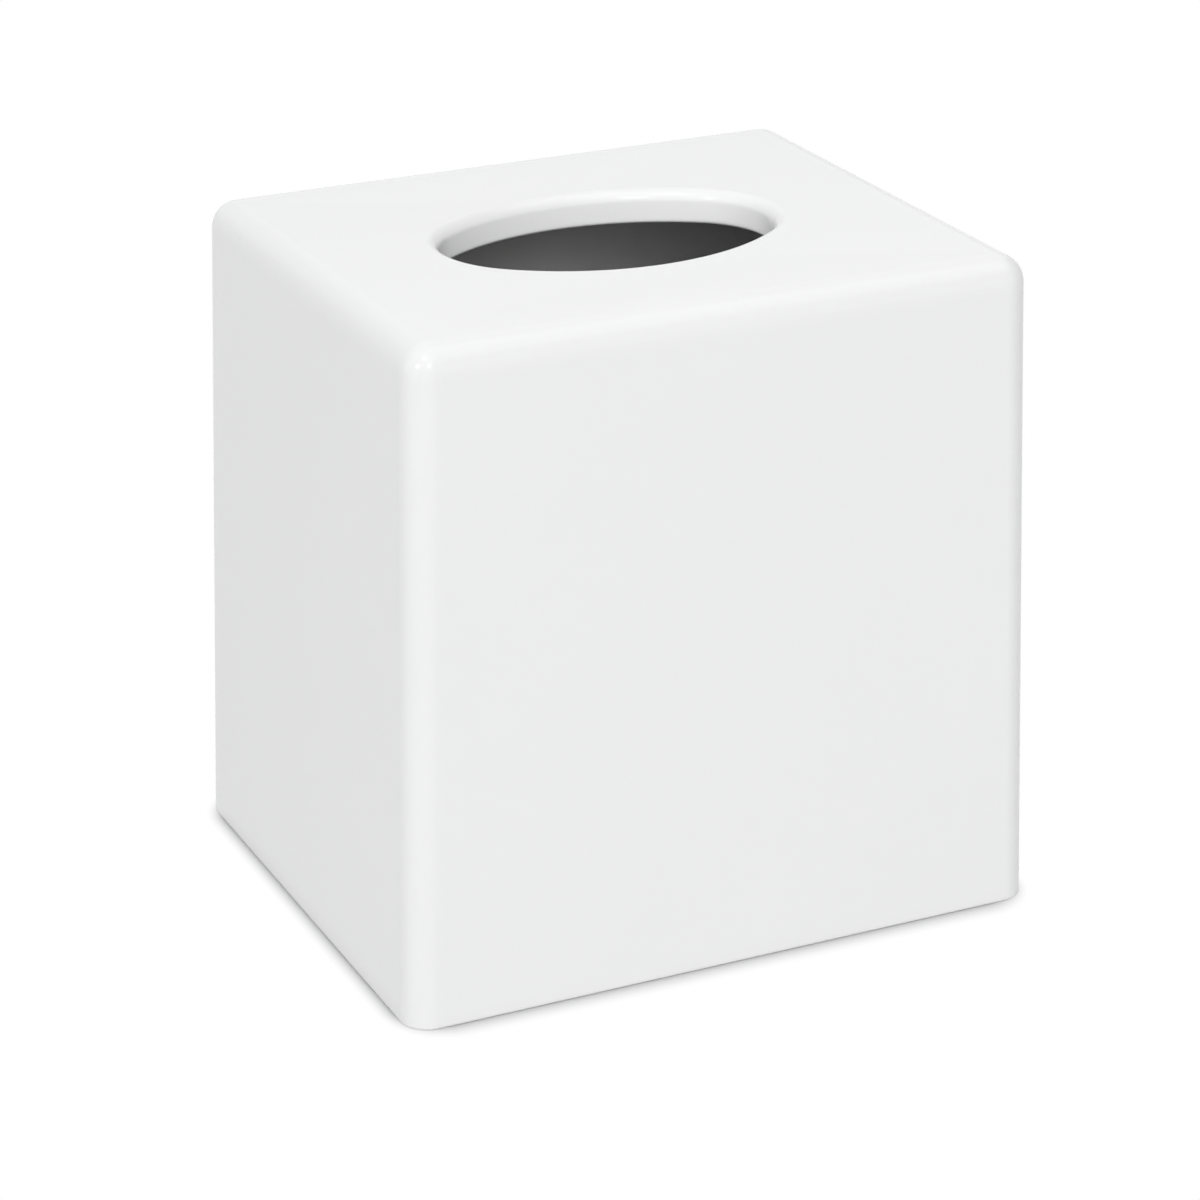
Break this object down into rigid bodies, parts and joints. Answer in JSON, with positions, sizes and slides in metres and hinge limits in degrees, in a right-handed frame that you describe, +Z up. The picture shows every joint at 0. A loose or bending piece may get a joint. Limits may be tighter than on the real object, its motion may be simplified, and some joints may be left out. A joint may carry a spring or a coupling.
{
  "type": "tissue box cover",
  "caption": "White gloss tissue box cover: a rounded block shell, open underneath, with an oval opening in its top.",
  "frame": {"origin": "centre of the base, on the surface that the cover stands on", "axes": "+X along the wide front face, +Y from front to back, +Z up"},
  "size_m": [0.156, 0.129, 0.155],
  "materials": {
    "shell": "high gloss white, polished outside and left plainer inside"
  },
  "bodies": {
    "root": {"cover": "shell"}
  },
  "joints": []
}
